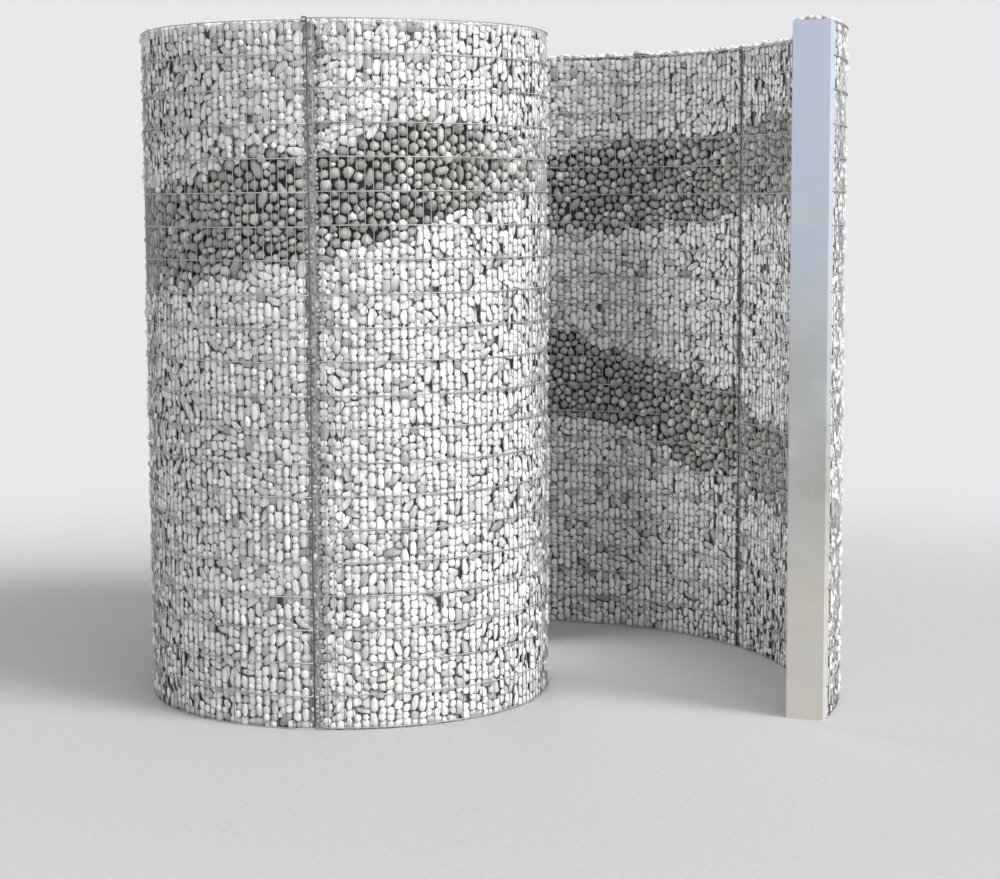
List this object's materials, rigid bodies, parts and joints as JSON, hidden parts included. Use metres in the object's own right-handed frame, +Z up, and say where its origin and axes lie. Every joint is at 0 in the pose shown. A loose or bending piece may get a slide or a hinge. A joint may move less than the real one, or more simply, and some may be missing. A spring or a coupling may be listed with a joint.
{
  "type": "spiral gabion wall",
  "caption": "Free-standing spiral privacy wall of curved welded-mesh baskets filled with pebbles, with folded end caps and an entrance gap.",
  "frame": {"origin": "middle of the wall's plan box, on the ground", "axes": "+X to the right along the longest side, towards the outer end cap; +Y from the convex front to the back wall; +Z up"},
  "size_m": [2.2518, 1.8848, 2.116],
  "materials": {
    "stones": "rounded white marble pebbles with two wavy bands of dark grey-green pebbles",
    "mesh_wire": "dull galvanised wire",
    "cap_sheet": "smooth satin folded sheet",
    "post_steel": "galvanised hollow section"
  },
  "bodies": {
    "root": {"inner_end_cap": "cap_sheet", "inner_hoops_bay_1": "mesh_wire", "inner_hoops_bay_2": "mesh_wire", "inner_hoops_bay_3": "mesh_wire", "inner_hoops_bay_4": "mesh_wire", "inner_hoops_bay_5": "mesh_wire", "inner_uprights_bay_1": "mesh_wire", "inner_uprights_bay_2": "mesh_wire", "inner_uprights_bay_3": "mesh_wire", "inner_uprights_bay_4": "mesh_wire", "inner_uprights_bay_5": "mesh_wire", "locking_rods_seam_1": "mesh_wire", "locking_rods_seam_2": "mesh_wire", "locking_rods_seam_3": "mesh_wire", "locking_rods_seam_4": "mesh_wire", "outer_end_cap": "cap_sheet", "outer_hoops_bay_1": "mesh_wire", "outer_hoops_bay_2": "mesh_wire", "outer_hoops_bay_3": "mesh_wire", "outer_hoops_bay_4": "mesh_wire", "outer_hoops_bay_5": "mesh_wire", "outer_uprights_bay_1": "mesh_wire", "outer_uprights_bay_2": "mesh_wire", "outer_uprights_bay_3": "mesh_wire", "outer_uprights_bay_4": "mesh_wire", "outer_uprights_bay_5": "mesh_wire", "seam_post_1": "post_steel", "seam_post_2": "post_steel", "seam_post_3": "post_steel", "seam_post_4": "post_steel", "stone_fill_bay_1": "stones", "stone_fill_bay_2": "stones", "stone_fill_bay_3": "stones", "stone_fill_bay_4": "stones", "stone_fill_bay_5": "stones"}
  },
  "joints": []
}
